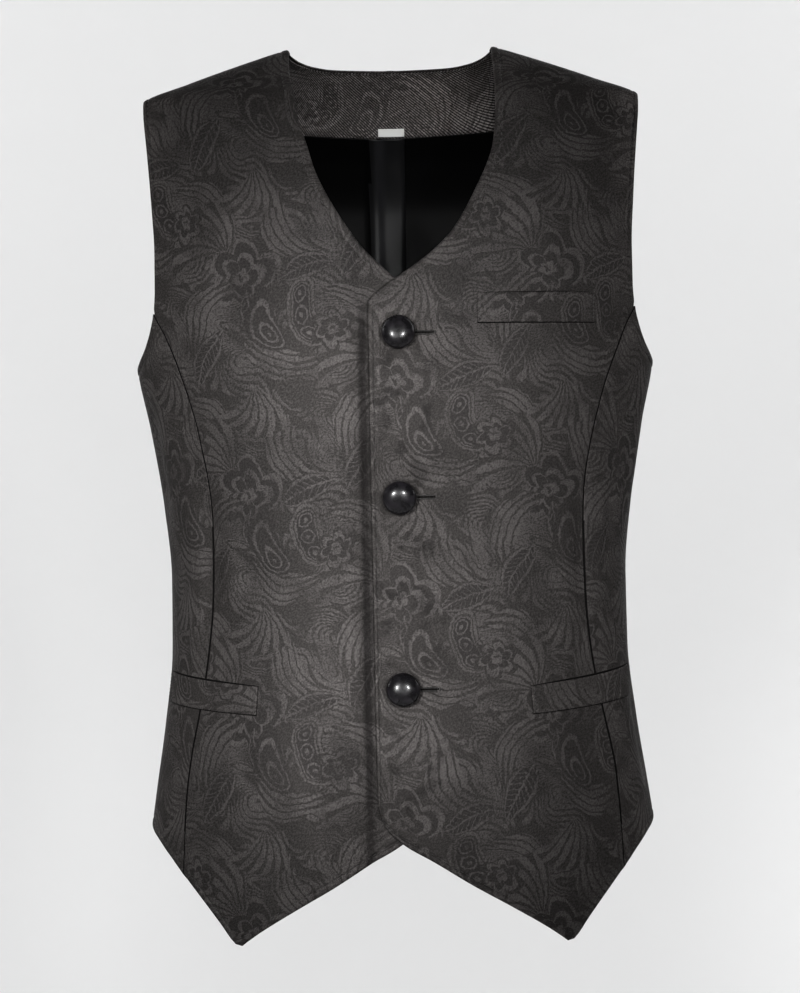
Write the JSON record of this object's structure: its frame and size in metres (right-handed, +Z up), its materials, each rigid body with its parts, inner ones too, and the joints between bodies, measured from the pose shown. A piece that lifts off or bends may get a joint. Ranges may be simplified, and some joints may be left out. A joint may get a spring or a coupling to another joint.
{
  "type": "suit waistcoat",
  "caption": "V-necked suit waistcoat in its worn, hollow shape, with a pointed hem, welt pockets, princess seams and domed buttons, closed left over right.",
  "frame": {"origin": "midway between the wearer's shoulder seams, half way down their slope, where the shoulders hold the garment up", "axes": "+Z up, +X to the wearer's left, -Y out of the front; the centre front lies in the plane X = 0"},
  "size_m": [0.36, 0.2406, 0.616],
  "materials": {
    "jacquard": "dark charcoal jacquard of viscose and polyester, a soft satin figure on a twill ground",
    "lining_satin": "black satin lining, smooth with a soft sheen",
    "label_tape": "white woven tape, blank",
    "button_pearl": "black with a pearly gloss, domed"
  },
  "bodies": {
    "root": {"front_left": "jacquard", "front_right": "jacquard", "side_left": "jacquard", "side_right": "jacquard", "back_left": "jacquard", "back_right": "jacquard", "back_neck_facing": "jacquard", "breast_welt": "jacquard", "welt_left": "jacquard", "welt_right": "jacquard", "lining_left": "lining_satin", "lining_right": "lining_satin", "neck_label": "label_tape", "button_top": "button_pearl", "button_middle": "button_pearl", "button_bottom": "button_pearl"}
  },
  "joints": []
}
